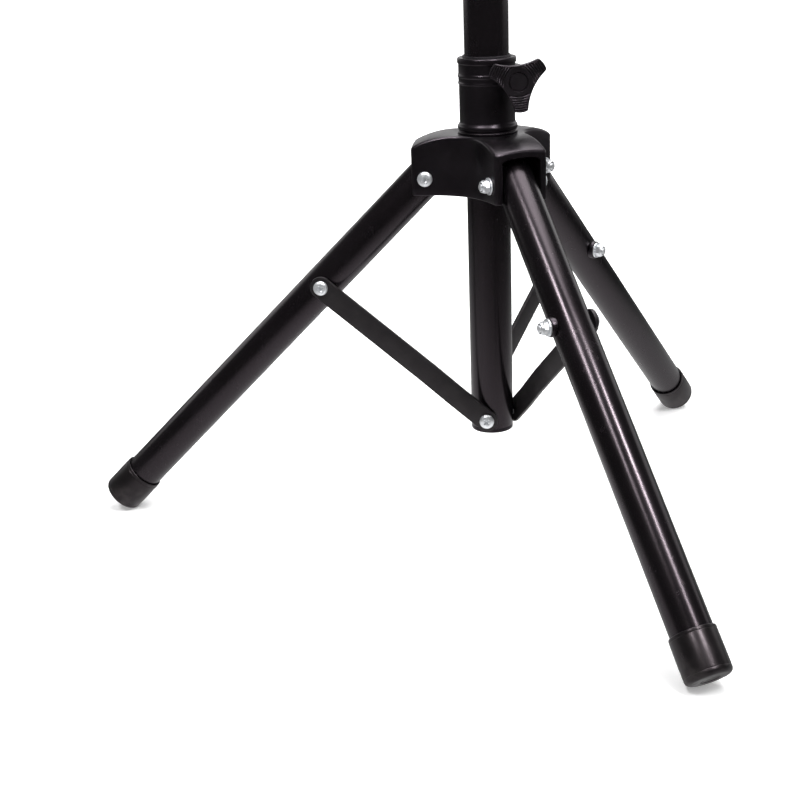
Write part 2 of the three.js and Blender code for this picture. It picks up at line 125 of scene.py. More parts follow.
CAMERA = {
    "distance": 1.2375,  # from the column's axis, along the floor
    "above_floor": 0.5454,
    "azimuth": 4.71,  # degrees round the column, from straight in front
    "aside": 3.76,  # how far it looks to the left of the column
    "down": 19.31,
    "roll": -2.16,
    "lens": 66.77,
}


def add_camera():
    camera = bpy.data.objects.new("camera", bpy.data.cameras.new("camera"))
    bpy.context.scene.collection.objects.link(camera)
    camera.data.lens = CAMERA["lens"]
    camera.data.sensor_width = 36
    camera.data.clip_start = 0.05
    camera.data.clip_end = 200
    round_column = radians(CAMERA["azimuth"])
    turn = Matrix.Rotation(round_column + radians(CAMERA["aside"]), 3, "Z")
    down = radians(CAMERA["down"])
    ahead = turn @ Vector((0, cos(down), -sin(down)))
    right = turn @ Vector((1, 0, 0))
    above = right.cross(ahead)
    roll = radians(CAMERA["roll"])
    right, above = right * cos(roll) + above * sin(roll), above * cos(roll) - right * sin(roll)
    away = CAMERA["distance"]
    place = Vector((away * sin(round_column), -away * cos(round_column), FLOOR + CAMERA["above_floor"]))
    camera.matrix_world = frame_matrix(place, right, above, -ahead)
    bpy.context.scene.camera = camera


# ---- mesh helpers ----


def frame_matrix(origin, x, y, z):
    """The matrix that takes local axes to these three directions, at the origin given."""
    matrix = Matrix((x, y, z)).transposed().to_4x4()
    matrix.translation = origin
    return matrix


def arc(centre, radius, start, end, steps):
    """Points of an arc between two angles in degrees."""
    points = []
    for i in range(steps + 1):
        angle = radians(start + (end - start) * i / steps)
        points.append((centre[0] + radius * cos(angle), centre[1] + radius * sin(angle)))
    return points


def softened(profile, radius, steps=3, closed=False):
    """The profile with its corners rounded, each by at most 0.45 of its shorter side."""
    points = [Vector(p) for p in profile]
    count = len(points)
    result = []
    for i, here in enumerate(points):
        if not closed and i in (0, count - 1):
            result.append(tuple(here))
            continue
        before, after = points[i - 1] - here, points[(i + 1) % count] - here
        reach = min(before.length, after.length) * 0.45
        turn = before.angle(after) if before.length and after.length else pi
        if turn > radians(172) or reach == 0:
            result.append(tuple(here))
            continue
        setback = min(reach, radius / max(0.2, abs(sin(turn / 2) / cos(turn / 2))))
        start = here + before.normalized() * setback
        end = here + after.normalized() * setback
        for j in range(steps + 1):
            t = j / steps
            point = start * (1 - t) ** 2 + here * 2 * t * (1 - t) + end * t**2
            result.append(tuple(point))
    return result


def lofted(rings, closed=False):
    """Vertices and faces through rings of equal count; a ring of one point is a tip."""
    verts, starts = [], []
    for ring in rings:
        starts.append(len(verts))
        verts += [tuple(p) for p in ring]
    faces = []
    pairs = list(zip(range(len(rings)), range(1, len(rings))))
    if closed:
        pairs.append((len(rings) - 1, 0))
    for low, high in pairs:
        a, b = starts[low], starts[high]
        count = max(len(rings[low]), len(rings[high]))
        for i in range(count):
            j = (i + 1) % count
            if len(rings[low]) == 1:
                faces.append((a, b + j, b + i))
            elif len(rings[high]) == 1:
                faces.append((a + i, a + j, b))
            else:
                faces.append((a + i, a + j, b + j, b + i))
    return verts, faces


def capped(rings):
    """Vertices and faces through rings of equal count, closed at both ends."""
    verts, faces = lofted(rings)
    count = len(rings[0])
    return verts, [*faces, tuple(range(count)), tuple(range(len(verts) - count, len(verts)))]


def circle(radius, z, sides):
    if radius < 1e-9:
        return [(0, 0, z)]
    return [(radius * cos(2 * pi * i / sides), radius * sin(2 * pi * i / sides), z) for i in range(sides)]


def turned(profile, sides=96, closed=False):
    """Turned about Z from (radius, z) points; closed joins the last point to the first."""
    return lofted([circle(radius, z, sides) for radius, z in profile], closed)


def mesh_from(name, verts, faces):
    mesh = bpy.data.meshes.new(name)
    mesh.from_pydata(verts, [], faces)
    work = bmesh.new()
    work.from_mesh(mesh)
    bmesh.ops.recalc_face_normals(work, faces=work.faces)
    work.to_mesh(mesh)
    work.free()
    return mesh


def evaluated(thing):
    """The object's mesh with its modifiers applied, and the object removed."""
    mesh = bpy.data.meshes.new_from_object(thing.evaluated_get(bpy.context.evaluated_depsgraph_get()))
    bpy.data.objects.remove(thing)
    return mesh


def loose(mesh):
    thing = bpy.data.objects.new("work", mesh)
    bpy.context.scene.collection.objects.link(thing)
    return thing


def combined(mesh, tools, operation):
    """A mesh with others cut from it, or joined to it."""
    base = loose(mesh)
    helpers = [loose(tool) for tool in tools]
    for helper in helpers:
        modifier = base.modifiers.new("combine", "BOOLEAN")
        modifier.object = helper
        modifier.operation = operation
        modifier.solver = "EXACT"
    result = evaluated(base)
    for helper in helpers:
        bpy.data.objects.remove(helper)
    return result


def bevelled(mesh, width, angle=40, segments=2):
    base = loose(mesh)
    modifier = base.modifiers.new("bevel", "BEVEL")
    modifier.width = width
    modifier.segments = segments
    modifier.limit_method = "ANGLE"
    modifier.angle_limit = radians(angle)
    return evaluated(base)


def placed(mesh, matrix):
    copy = mesh.copy()
    copy.transform(matrix)
    return copy


def add_piece(name, mesh, body, material, replaces=(), smooth=32):
    """A finished piece: smooth up to an angle, riding on its body."""
    mesh.shade_smooth()
    mesh.set_sharp_from_angle(angle=radians(smooth))
    mesh.materials.clear()
    mesh.materials.append(material)
    piece = bpy.data.objects.new(name, mesh)
    bpy.context.scene.collection.objects.link(piece)
    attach(piece, body)
    if replaces:
        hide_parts(*replaces)
    return piece


# ---- materials ----


def math_node(nodes, links, operation, first, second):
    node = nodes.new("ShaderNodeMath")
    node.operation = operation
    for socket, value in zip(node.inputs, (first, second)):
        if isinstance(value, (int, float)):
            socket.default_value = value
        else:
            links.new(value, socket)
    return node.outputs["Value"]


class Surface:
    """A Principled material with procedural variation, bump and roughness."""

    def __init__(self, name, metallic=0.0, specular=0.5, tint=(1.0, 0.85, 0.98)):
        self.material = bpy.data.materials.new(name)
        self.material.use_nodes = True
        self.nodes = self.material.node_tree.nodes
        self.links = self.material.node_tree.links
        self.shader = self.nodes["Principled BSDF"]
        self.shader.inputs["Metallic"].default_value = metallic
        self.shader.inputs["Specular IOR Level"].default_value = specular
        self.shader.inputs["Specular Tint"].default_value = (*tint, 1)
        self.place = self.nodes.new("ShaderNodeTexCoord").outputs["Object"]
        self.height = None

    def noise(self, scale, detail=3, stretch=None):
        texture = self.nodes.new("ShaderNodeTexNoise")
        texture.inputs["Scale"].default_value = scale
        texture.inputs["Detail"].default_value = detail
        self.links.new(self.stretched(stretch), texture.inputs["Vector"])
        return texture.outputs["Fac"]

    def cells(self, scale):
        texture = self.nodes.new("ShaderNodeTexVoronoi")
        texture.inputs["Scale"].default_value = scale
        self.links.new(self.place, texture.inputs["Vector"])
        return texture.outputs["Distance"]

    def stretched(self, stretch):
        if stretch is None:
            return self.place
        mapping = self.nodes.new("ShaderNodeMapping")
        mapping.inputs["Scale"].default_value = stretch
        self.links.new(self.place, mapping.inputs["Vector"])
        return mapping.outputs["Vector"]

    def remap(self, value, low, high, to_low, to_high):
        node = self.nodes.new("ShaderNodeMapRange")
        for name, number in zip(("From Min", "From Max", "To Min", "To Max"), (low, high, to_low, to_high)):
            node.inputs[name].default_value = number
        self.links.new(value, node.inputs["Value"])
        return node.outputs["Result"]

    def math(self, operation, first, second):
        return math_node(self.nodes, self.links, operation, first, second)

    def mixed(self, factor, first, second):
        node = self.nodes.new("ShaderNodeMix")
        node.data_type = "RGBA"
        self.links.new(factor, node.inputs["Factor"])
        for socket, value in ((node.inputs["A"], first), (node.inputs["B"], second)):
            if isinstance(value, tuple):
                socket.default_value = (*value, 1)
            else:
                self.links.new(value, socket)
        return node.outputs["Result"]

    def color(self, value):
        self.links.new(value, self.shader.inputs["Base Color"])

    def roughness(self, value):
        self.links.new(value, self.shader.inputs["Roughness"])

    def bump(self, value, strength, distance):
        node = self.nodes.new("ShaderNodeBump")
        node.inputs["Strength"].default_value = strength
        node.inputs["Distance"].default_value = distance
        self.links.new(value, node.inputs["Height"])
        if self.height is not None:
            self.links.new(self.height, node.inputs["Normal"])
        self.height = node.outputs["Normal"]
        self.links.new(self.height, self.shader.inputs["Normal"])


def tube_coat():
    """Satin black powder coat: faint orange peel, tiny specks and slow drift in the gloss."""
    surface = Surface("tube_coat", tint=(1.0, 0.84, 0.94))
    drift = surface.noise(14, 4)
    surface.color(surface.mixed(surface.remap(drift, 0.35, 0.65, 0, 1), (0.001, 0.0008, 0.0011),
                                (0.0022, 0.0018, 0.0023)))
    scuffs = surface.remap(surface.noise(160, 6, (1, 1, 0.3)), 0.62, 0.75, 0, 0.1)
    surface.roughness(surface.math("ADD", surface.remap(drift, 0.3, 0.7, 0.2, 0.27), scuffs))
    surface.bump(surface.noise(420, 2), 0.02, 0.0003)
    surface.bump(surface.cells(1500), 0.02, 0.0001)
    return surface.material


def strut_coat():
    """Flatter black coat of the struts, with a slow drift in its tone."""
    surface = Surface("strut_coat", specular=0.42, tint=(1.0, 0.9, 0.94))
    drift = surface.noise(60, 5)
    surface.color(surface.mixed(surface.remap(drift, 0.4, 0.68, 0, 1), (0.007, 0.0065, 0.0072),
                                (0.012, 0.0113, 0.0118)))
    surface.roughness(surface.remap(surface.noise(35, 4), 0.3, 0.7, 0.36, 0.48))
    surface.bump(surface.noise(900, 3), 0.08, 0.0003)
    surface.bump(surface.noise(90, 2), 0.08, 0.0006)
    return surface.material


def moulded(name, dark, light, rough, grain, grain_depth):
    """Moulded black plastic: fine grain, flow marks in the gloss and a few handling scuffs."""
    surface = Surface(name)
    drift = surface.noise(40, 4)
    surface.color(surface.mixed(surface.remap(drift, 0.35, 0.7, 0, 1), dark, light))
    scuffs = surface.remap(surface.noise(240, 6), 0.6, 0.74, 0, 0.12)
    surface.roughness(surface.math("ADD", surface.remap(drift, 0.3, 0.7, *rough), scuffs))
    surface.bump(surface.cells(grain), grain_depth, 0.0002)
    surface.bump(surface.noise(120, 3), 0.06, 0.0005)
    return surface.material


def foot_plastic():
    """Soft black foot caps, dusty and rubbed towards the floor."""
    surface = Surface("foot_plastic", specular=0.42, tint=(1.0, 0.86, 0.93))
    split = surface.nodes.new("ShaderNodeSeparateXYZ")
    surface.links.new(surface.place, split.inputs["Vector"])
    low = surface.remap(split.outputs["Z"], FLOOR, FLOOR + 0.03, 1, 0)
    dust = surface.math("MULTIPLY", surface.remap(surface.noise(110, 6), 0.42, 0.7, 0, 1), low)
    base = surface.mixed(surface.noise(50, 3), (0.002, 0.0018, 0.0019), (0.005, 0.0045, 0.0047))
    surface.color(surface.mixed(dust, base, (0.05, 0.047, 0.044)))
    wear = surface.math("MULTIPLY", dust, 0.35)
    clean = surface.remap(surface.noise(60, 4), 0.3, 0.7, 0.27, 0.38)
    surface.roughness(surface.math("ADD", clean, wear))
    surface.bump(surface.noise(700, 3), 0.1, 0.0003)
    surface.bump(surface.noise(60, 2), 0.15, 0.0008)
    return surface.material


def zinc_steel():
    """Bright zinc plate: slightly blue, with soft mottling and fine tool marks."""
    surface = Surface("zinc_steel", metallic=0.9, tint=(1.0, 1.0, 1.0))
    mottle = surface.remap(surface.noise(500, 4), 0.3, 0.7, 0, 1)
    surface.color(surface.mixed(mottle, (0.8, 0.82, 0.85), (0.94, 0.95, 0.97)))
    surface.roughness(surface.remap(surface.noise(900, 5), 0.3, 0.7, 0.34, 0.5))
    surface.bump(surface.noise(2600, 3), 0.1, 0.0001)
    return surface.material


MATERIALS = {
    "tube_coat": tube_coat(),
    "strut_coat": strut_coat(),
    "hub_plastic": moulded("hub_plastic", (0.001, 0.0008, 0.0011), (0.0024, 0.002, 0.0026),
                           (0.27, 0.36), 2600, 0.1),
    "knob_plastic": moulded("knob_plastic", (0.002, 0.0018, 0.0021), (0.0045, 0.004, 0.0047),
                            (0.33, 0.43), 1900, 0.2),
    "foot_plastic": foot_plastic(),
    "liner_nylon": moulded("liner_nylon", (0.012, 0.012, 0.013), (0.018, 0.018, 0.019),
                           (0.45, 0.55), 1500, 0.1),
    "zinc_steel": zinc_steel(),
}


def add(name, mesh, body, slot, replaces=(), smooth=32):
    return add_piece(name, mesh, body, MATERIALS[slot], replaces, smooth)


def turned_mesh(name, profile, sides=96, closed=True, round_by=0.3 * MM, steps=3):
    """A turned piece with softened corners; an open profile starts and ends on the axis."""
    return mesh_from(name, *turned(softened(profile, round_by, steps, closed), sides, closed))


# ---- column and pole ----


def pipe_profile(outer, bottom, top, wall=WALL):
    return [(outer - wall, bottom), (outer, bottom), (outer, top), (outer - wall, top)]


def add_column():
    tube = turned_mesh("main_tube", pipe_profile(TUBE_RADIUS, TUBE_BOTTOM, TUBE_TOP), 128)
    add("column_tube", tube, "column", "tube_coat", ["main_tube"])
    inner = TUBE_RADIUS - WALL - GAP
    lip = TUBE_BOTTOM - GAP
    stem_top = span("tube_end_plug", 2)[1]
    profile = [
        (0, 0.35 * MM), (9 * MM, 0.35 * MM), (10 * MM, 0), (TUBE_RADIUS - 0.9 * MM, 0),
        *arc((TUBE_RADIUS - 0.9 * MM, 0.9 * MM), 0.9 * MM, -80, 0, 4),
        (TUBE_RADIUS, lip), (inner, lip), (inner, stem_top), (inner - 2 * MM, stem_top),
        (inner - 2 * MM, lip + 1 * MM), (0, lip + 1 * MM),
    ]
    add("column_end_plug", turned_mesh("end_plug", profile, 128, False, 0.25 * MM), "column",
        "hub_plastic", ["tube_end_plug"])


def add_pole():
    tube = turned_mesh("inner_pole", pipe_profile(POLE_RADIUS, POLE_BOTTOM, POLE_TOP), 112)
    add("telescopic_pole", tube, "pole", "tube_coat", ["inner_pole"])
    inner = POLE_RADIUS + GAP
    roof = POLE_TOP + GAP
    groove = 0.5 * MM
    profile = [(inner, SPIGOT_BOTTOM), (SPIGOT_RADIUS, SPIGOT_BOTTOM)]
    for place in (6, 12):
        z = SPIGOT_BOTTOM + place * MM
        profile += [(SPIGOT_RADIUS, z), (SPIGOT_RADIUS - groove, z + groove)]
        profile += [(SPIGOT_RADIUS - groove, z + 2 * groove), (SPIGOT_RADIUS, z + 3 * groove)]
    profile += [(SPIGOT_RADIUS, SPIGOT_TOP - 1.5 * MM), (SPIGOT_RADIUS - 1.5 * MM, SPIGOT_TOP)]
    outside = [(0, SPIGOT_TOP), *reversed(profile)]
    spigot = turned_mesh("spigot", [*outside, (inner, roof), (0, roof)], 112, False, 0.4 * MM)
    add("pole_spigot", spigot, "pole", "hub_plastic", ["pole_top_spigot"])


# ---- collars ----

# Rings round a collar's head: radius, and height below the top of its flange, in millimetres.
HEAD_RINGS = [
    (23.1, 21.5), (23.6, 21.1), (23.8, 20.4), (23.6, 19.6), (23.4, 19.1), (23.4, 16.0), (23.8, 15.3),
    (24.0, 14.3), (23.8, 13.3), (23.4, 12.7), (23.4, 5), (23.6, 4.6), (24.2, 4.2), (24.2, 0.8), (23.6, 0),
]
# Flange, groove and bead at the foot of the hub's collar: radius, and height above the hub's top.
BASE_RINGS = [
    (24.8, 0.3), (24.9, 0.8), (24.9, 1.4), (24.5, 1.8), (23.9, 2.1), (23.9, 2.6), (24.4, 3.0),
    (24.8, 3.5), (24.8, 6.0), (24.4, 6.9), (23.5, 8.0), (23.1, 8.8), (23.0, 10.0),
]
EAR_RADIUS = 9.5 * MM
EAR_BACK = -14 * MM
EAR_FRONT = 18 * MM
CLAMP_NUT_HEIGHT = 5 * MM
NUT_ROOM_RADIUS = 6.1 * MM
SPLIT = 2 * MM
SPLIT_DEPTH = 16 * MM
SLEEVE_RADIUS = 22 * MM
PAST = 5 * MM  # how far a cutter runs past the face that it opens


def clamp_frame(prefix):
    """Local +Z along a clamp's stud, +X away from the column and +Y up."""
    place = KNOB_SIDE * CLAMP_OFFSET + UP * CLAMP_Z[prefix]
    return frame_matrix(place, KNOB_SIDE, UP.copy(), KNOB_OUT)


def rod_mesh(radius, low, high, sides=48):
    profile = [(0, low), (radius, low), (radius, high), (0, high)]
    return mesh_from("rod", *lofted([circle(*point, sides) for point in profile]))


def box_mesh(low, high):
    (left, near, bottom), (right, far, top) = low, high
    corners = [(left, near), (right, near), (right, far), (left, far)]
    return mesh_from("box", *capped([[(*corner, z) for corner in corners] for z in (bottom, top)]))


def ear_mesh():
    """The two ears of a clamp as one rod, with soft ends; the split is cut later."""
    profile = [
        (0, EAR_BACK), (EAR_RADIUS - 1.2 * MM, EAR_BACK), (EAR_RADIUS - 0.3 * MM, EAR_BACK + 0.5 * MM),
        (EAR_RADIUS, EAR_BACK + 1.6 * MM), (EAR_RADIUS, EAR_FRONT - 1.6 * MM),
        (EAR_RADIUS - 0.3 * MM, EAR_FRONT - 0.5 * MM), (EAR_RADIUS - 1.2 * MM, EAR_FRONT), (0, EAR_FRONT),
    ]
    return turned_mesh("ears", profile, 64, False, 0.6 * MM)


def add_collar(name, node, prefix, body, bore, lower, top):
    """A split collar: rings, ears, and the cuts for its bore, its split, its stud and its nut."""
    rings = [(radius * MM, top - drop * MM) for radius, drop in HEAD_RINGS]
    profile = [*lower, *rings, (bore + 0.8 * MM, top), (bore, top - 0.8 * MM)]
    collar = turned_mesh(name, profile, 128, True, 0.3 * MM, 2)
    place = clamp_frame(prefix)
    inside = rod_mesh(bore - 0.05 * MM, UPPER_COLLAR_BOTTOM - 1, UPPER_COLLAR_TOP + 1, 128)
    ears = combined(placed(ear_mesh(), place), [inside], "DIFFERENCE")
    nut_room = rod_mesh(NUT_ROOM_RADIUS, EAR_BACK - PAST, EAR_BACK + CLAMP_NUT_HEIGHT + GAP, 6)
    split_top = top - CLAMP_Z[prefix] + PAST
    cuts = [
        rod_mesh(HOLE_RADIUS, EAR_BACK - PAST, EAR_FRONT + PAST),
        placed(nut_room, Matrix.Rotation(radians(30), 4, "Z")),
        box_mesh((-CLAMP_OFFSET / 2, -SPLIT_DEPTH, -SPLIT / 2), (2 * EAR_RADIUS, split_top, SPLIT / 2)),
    ]
    solid = combined(collar, [ears], "UNION")
    solid = combined(solid, [placed(cut, place) for cut in cuts], "DIFFERENCE")
    add(name, solid, body, "hub_plastic", [node])


def add_collars():
    seat = HUB_TOP + GAP
    bore = LINER_RADIUS + GAP
    lower = [(bore, COLLAR_BOTTOM), (SLEEVE_RADIUS, COLLAR_BOTTOM), (SLEEVE_RADIUS, seat)]
    lower += [(radius * MM, HUB_TOP + rise * MM) for radius, rise in BASE_RINGS]
    add_collar("hub_clamp_collar", "hub_collar", "hub", "hub", bore, lower, COLLAR_TOP)
    bore = TUBE_RADIUS + GAP
    lower = [(bore, UPPER_COLLAR_BOTTOM), (21.8 * MM, UPPER_COLLAR_BOTTOM),
             (23.0 * MM, UPPER_COLLAR_BOTTOM + 1.2 * MM)]
    add_collar("upper_clamp_collar", "upper_collar", "upper", "column", bore, lower, UPPER_COLLAR_TOP)


def add_liners():
    wall_of_liner = LINER_RADIUS - TUBE_RADIUS - GAP
    profile = pipe_profile(LINER_RADIUS, LINER_BOTTOM, LINER_TOP, wall_of_liner)
    add("hub_liner", turned_mesh("hub_liner", profile, 112), "hub", "liner_nylon", ["hub_bushing"])
    inner = POLE_RADIUS + GAP
    sleeve = TUBE_RADIUS - WALL - GAP
    bottom = span("upper_bushing", 2)[0]
    step = TUBE_TOP + GAP
    profile = [(inner, bottom), (sleeve, bottom), (sleeve, step), (TUBE_RADIUS, step),
               (TUBE_RADIUS, UPPER_LINER_TOP), (inner, UPPER_LINER_TOP)]
    liner = turned_mesh("upper_liner", profile, 112)
    add("upper_liner", liner, "column", "liner_nylon", ["upper_bushing"])


# ---- hub bracket ----

HUB_CROWN_START = 33 * MM
HUB_CROWN_RADIUS = 64 * MM
HUB_ROOF = 5.7 * MM
HOLLOW_AT_TOP = 26 * MM
HOLLOW_AT_BOTTOM = 55 * MM
HUB_BORE = 22.3 * MM
SLOT_HALF_WIDTH = 16.9 * MM
SLOT_START = 27 * MM
SLOT_STEP = 7 * MM
MOUTH_FLARE = 0.6 * MM


def crown(radial):
    """Height of the hub's top at a distance from the axis."""
    past = max(0, radial - HUB_CROWN_START)
    return HUB_TOP - HUB_CROWN_RADIUS + sqrt(HUB_CROWN_RADIUS**2 - past**2)


def between(start, end, steps):
    """Points strictly between two points."""
    return [Vector(start).lerp(Vector(end), i / steps) for i in range(1, steps)]


def hub_outline(inset, hollow_radius):
    """The bracket's plan outline, drawn in by an inset, always with the same point count."""
    half, reach = HUB_HALF_WIDTH - inset, HUB_REACH - inset
    corner, fillet = 3.2 * MM - inset, hollow_radius + inset
    middle = (HUB_HALF_WIDTH + hollow_radius) / sin(radians(60)) / 2
    outline = []
    for turn in (60, 180, 300):
        first = arc((reach - corner, corner - half), corner, -90, 0, 5)
        second = arc((reach - corner, half - corner), corner, 0, 90, 5)
        hollow = arc((middle, HUB_HALF_WIDTH + hollow_radius), fillet, 270, 210, 16)
        mirrored = (hollow[0][0], -hollow[0][1])
        points = [mirrored, *between(mirrored, first[0], 8), *first, *between(first[-1], second[0], 10)]
        points += [*second, *between(second[-1], hollow[0], 8), *hollow[:-1]]
        spin = Matrix.Rotation(radians(turn), 2)
        outline += [spin @ Vector(p) for p in points]
    return outline


def hub_rings():
    """Rings up the outside, over the crown to the bore, and down the bore."""
    low, edge = 0.8 * MM, 2.1 * MM
    rings = []
    for i in range(4):
        angle = radians(30 * i)
        outline = hub_outline(low * (1 - sin(angle)), HOLLOW_AT_BOTTOM)
        rings.append([(*p, HUB_BOTTOM + low * (1 - cos(angle))) for p in outline])
    top = [Vector((*p, crown(p.length) - edge)) for p in hub_outline(0, HOLLOW_AT_TOP)]
    for i in range(1, 6):
        rings.append([tuple(Vector(p).lerp(q, i / 6)) for p, q in zip(rings[3], top)])
    for i in range(6):
        angle = radians(18 * i)
        outline = hub_outline(edge * (1 - cos(angle)), HOLLOW_AT_TOP)
        rings.append([(*p, crown(p.length) - edge * (1 - sin(angle))) for p in outline])
    inner = hub_outline(edge, HOLLOW_AT_TOP)
    for i in range(1, 11):
        ring = []
        for p in inner:
            point = p.lerp(p.normalized() * HUB_BORE, i / 10)
            ring.append((*point, crown(point.length)))
        rings.append(ring)
    rings.append([(*(p.normalized() * HUB_BORE), HUB_BOTTOM) for p in inner])
    return rings


def slot_mesh(turn):
    """The space inside an arm, under a vaulted roof, with eased edges at its mouths."""
    stations = [(SLOT_START + i * SLOT_STEP, 0) for i in range(5)]
    stations += [(HUB_REACH - 0.5 * MM, 0), (HUB_REACH + 0.1 * MM, MOUTH_FLARE)]
    stations += [(HUB_REACH + PAST, MOUTH_FLARE)]
    rings = []
    for radial, flare in stations:
        half = SLOT_HALF_WIDTH + flare
        ring = [(radial, -half - 1.4 * MM, HUB_BOTTOM - 1 * MM), (radial, -half, HUB_BOTTOM + 0.7 * MM)]
        for i in range(9):
            across = -half + 2 * half * i / 8
            corner = 1.8 * MM * (abs(across) / half) ** 8
            z = crown(hypot(min(radial, HUB_REACH), across)) - HUB_ROOF - corner + flare
            ring.append((radial, across, z))
        ring += [(radial, half, HUB_BOTTOM + 0.7 * MM), (radial, half + 1.4 * MM, HUB_BOTTOM - 1 * MM)]
        rings.append(ring)
    return placed(mesh_from("slot", *capped(rings)), Matrix.Rotation(turn, 4, "Z"))


def bolt_hole(place, across):
    """A rod that drills both walls of an arm."""
    reach = HUB_HALF_WIDTH + 3 * PAST
    matrix = frame_matrix(place, across.cross(UP), UP.copy(), across)
    return placed(rod_mesh(HOLE_RADIUS, -reach, reach, 32), matrix)


def add_hub_bracket():
    bracket = mesh_from("hub_bracket", *lofted(hub_rings(), True))
    slots = [slot_mesh(atan2(OUTWARD[k].y, OUTWARD[k].x)) for k in LETTERS]
    holes = [bolt_hole(PIVOT[k], ACROSS[k]) for k in LETTERS]
    bracket = combined(bracket, slots + holes, "DIFFERENCE")
    add("hub_casting", bracket, "hub", "hub_plastic", ["hub_bracket"], smooth=28)


# ---- screws, washers and nuts: drawn along +Z from the face they bear on ----


def cross_recess():
    """A cutter for a cross drive, tapering downwards."""
    def plus(length, width, z):
        corners = [(length, -width), (length, width), (width, width), (width, length), (-width, length),
                   (-width, width), (-length, width), (-length, -width), (-width, -width),
                   (-width, -length), (width, -length), (width, -width)]
        return [(x * MM, y * MM, z * MM) for x, y in corners]
    return mesh_from("recess", *capped([plus(1.2, 0.45, 1.2), plus(3.3, 0.8, 3.8)]))


def thread_profile(start, end, radius, pitch=1.0 * MM):
    """Thread crests and roots down a shank, as (radius, z) points."""
    points = []
    turns = max(1, floor(abs(end - start) / pitch))
    step = (end - start) / turns
    for i in range(turns):
        z = start + step * i
        points += [(radius - 0.5 * MM, z), (radius, z + step * 0.45), (radius, z + step * 0.55)]
    return points + [(radius - 0.5 * MM, end)]


def pan_head(shank_end, threaded_from):
    """A cross-drive pan head screw; the shank runs down to a negative z."""
    rim, rise = 1.1 * MM, 2.5 * MM
    thread = thread_profile(threaded_from, shank_end, SCREW_RADIUS)
    profile = [(0, shank_end - 0.3 * MM), *reversed(thread), (SCREW_RADIUS, threaded_from)]
    profile += [(SCREW_RADIUS, 0), (HEAD_RADIUS - 0.2 * MM, 0), (HEAD_RADIUS, 0.2 * MM), (HEAD_RADIUS, rim)]
    for i in range(1, 8):
        angle = radians(90 * i / 8)
        profile.append((HEAD_RADIUS * cos(angle) ** 0.6, rim + rise * sin(angle) ** 1.15))
    profile.append((0, rim + rise))
    head = mesh_from("screw", *turned(profile, 56))
    return bevelled(combined(head, [cross_recess()], "DIFFERENCE"), 0.12 * MM, 48)


def washer_mesh():
    profile = pipe_profile(WASHER_RADIUS, 0, WASHER_THICKNESS, WASHER_RADIUS - HOLE_RADIUS)
    return turned_mesh("washer", profile, 64, True, 0.25 * MM)


def hexagon(distance, angle):
    """Distance from the axis to a hexagon's side in a direction."""
    return distance / cos((angle % (pi / 3)) - pi / 6)


def lock_nut(height=NUT_HEIGHT, collar=True):
    """A hexagon nut with turned corners and, for a lock nut, the collar that holds its ring."""
    flats, sides, slant = 5 * MM, 72, 0.55
    body = height - (1.9 * MM if collar else 0)
    angles = [2 * pi * i / sides for i in range(sides)]

    def ring(z_of, radius_of):
        return [(radius_of(a) * cos(a), radius_of(a) * sin(a), z_of(a)) for a in angles]

    def across(a):
        return hexagon(flats, a)

    def rise(a):
        return (across(a) - flats) * slant

    rings = [
        circle(HOLE_RADIUS, 0.3 * MM, sides), circle(3.6 * MM, 0, sides), circle(flats * 0.98, 0, sides),
        ring(rise, across), ring(lambda a: body - rise(a), across), circle(flats * 0.98, body, sides),
    ]
    if collar:
        rings.append(circle(4.75 * MM, body + 0.15 * MM, sides))
        for radius, drop in ((4.6, 0.7), (4.35, 0.2), (4.0, 0)):
            rings.append(circle(radius * MM, height - drop * MM, sides))
    rings += [circle(3.75 * MM, height - 0.05 * MM, sides), circle(3.6 * MM, height - 0.5 * MM, sides)]
    rings.append(circle(HOLE_RADIUS, body - 0.5 * MM, sides))
    return mesh_from("nut", *lofted(rings, True))


def lock_ring():
    """The nylon ring in the mouth of a lock nut."""
    low, high = NUT_HEIGHT - 1.8 * MM, NUT_HEIGHT - 0.35 * MM
    profile = [(3.05 * MM, low), (3.5 * MM, low), (3.5 * MM, high), (3.05 * MM, high)]
    return turned_mesh("lock_ring", profile, 48, True, 0.15 * MM)


def across_frame(place, across, offset, away=False, spin=0.0):
    """Local +Z along the across direction, or against it, at an offset along it."""
    z = -across if away else across
    x = UP.cross(z).normalized()
    matrix = frame_matrix(place + across * offset, x, z.cross(x), z)
    return matrix @ Matrix.Rotation(spin, 4, "Z")


SPINS = {"a": 0.45, "b": 1.1, "c": 0.2}


def add_cross_bolt(letter, kind, body, place, head_face, washer_face):
    """A bolt through a leg: head one side, washer and lock nut the other."""
    across = ACROSS[letter]
    nut_face = washer_face + WASHER_THICKNESS + GAP
    tail = -(head_face + nut_face + NUT_HEIGHT + 1 * MM)
    screw = pan_head(tail, tail + 12 * MM)
    spin = SPINS[letter]
    at_head = across_frame(place, across, head_face, spin=spin)
    add(f"{kind}_screw_{letter}", placed(screw, at_head), body, "zinc_steel", [f"{kind}_bolt_{letter}"])
    at_washer = across_frame(place, across, -washer_face, True)
    washer = placed(washer_mesh(), at_washer)
    add(f"{kind}_steel_washer_{letter}", washer, body, "zinc_steel", [f"{kind}_washer_{letter}"])
    at_nut = across_frame(place, across, -nut_face, True, spin)
    nut = placed(lock_nut(), at_nut)
    add(f"{kind}_lock_nut_{letter}", nut, body, "zinc_steel", [f"{kind}_nut_{letter}"])
    add(f"{kind}_lock_ring_{letter}", placed(lock_ring(), at_nut), body, "liner_nylon")


# ---- legs ----


def leg_frame(letter):
    """Local +Z down the leg from its pivot, +Y across it towards the screw heads."""
    along = OUTWARD[letter] * cos(SLOPE) - UP * sin(SLOPE)
    across = ACROSS[letter]
    return frame_matrix(PIVOT[letter], across.cross(along), across, along)


